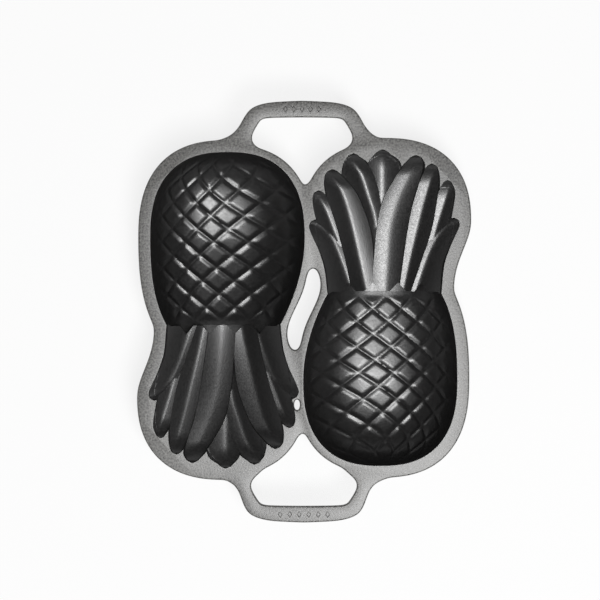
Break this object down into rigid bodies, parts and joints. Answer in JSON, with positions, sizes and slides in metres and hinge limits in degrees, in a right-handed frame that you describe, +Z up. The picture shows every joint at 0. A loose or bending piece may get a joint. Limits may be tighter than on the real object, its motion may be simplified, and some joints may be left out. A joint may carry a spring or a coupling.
{
  "type": "shaped baking pan",
  "caption": "Flat cast iron baking pan with pineapple-shaped moulds lying head to tail, a slot between them and a loop handle at each end.",
  "frame": {"origin": "on the surface that the pan rests on, under the middle of its length and width", "axes": "+Z up out of the moulds, +Y along the pan towards the top handle, +X towards the right mould"},
  "size_m": [0.281, 0.355, 0.051],
  "materials": {
    "rim_iron": "seasoned, fine sand-cast grain",
    "cup_iron": "seasoned, smooth and slightly glossy"
  },
  "bodies": {
    "root": {"bottom_handle": "rim_iron", "centre_web": "rim_iron", "left_crown_cup": "cup_iron", "left_crown_rim": "rim_iron", "left_fruit_cup": "cup_iron", "left_fruit_rim": "rim_iron", "right_crown_cup": "cup_iron", "right_crown_rim": "rim_iron", "right_fruit_cup": "cup_iron", "right_fruit_rim": "rim_iron", "top_handle": "rim_iron"}
  },
  "joints": []
}
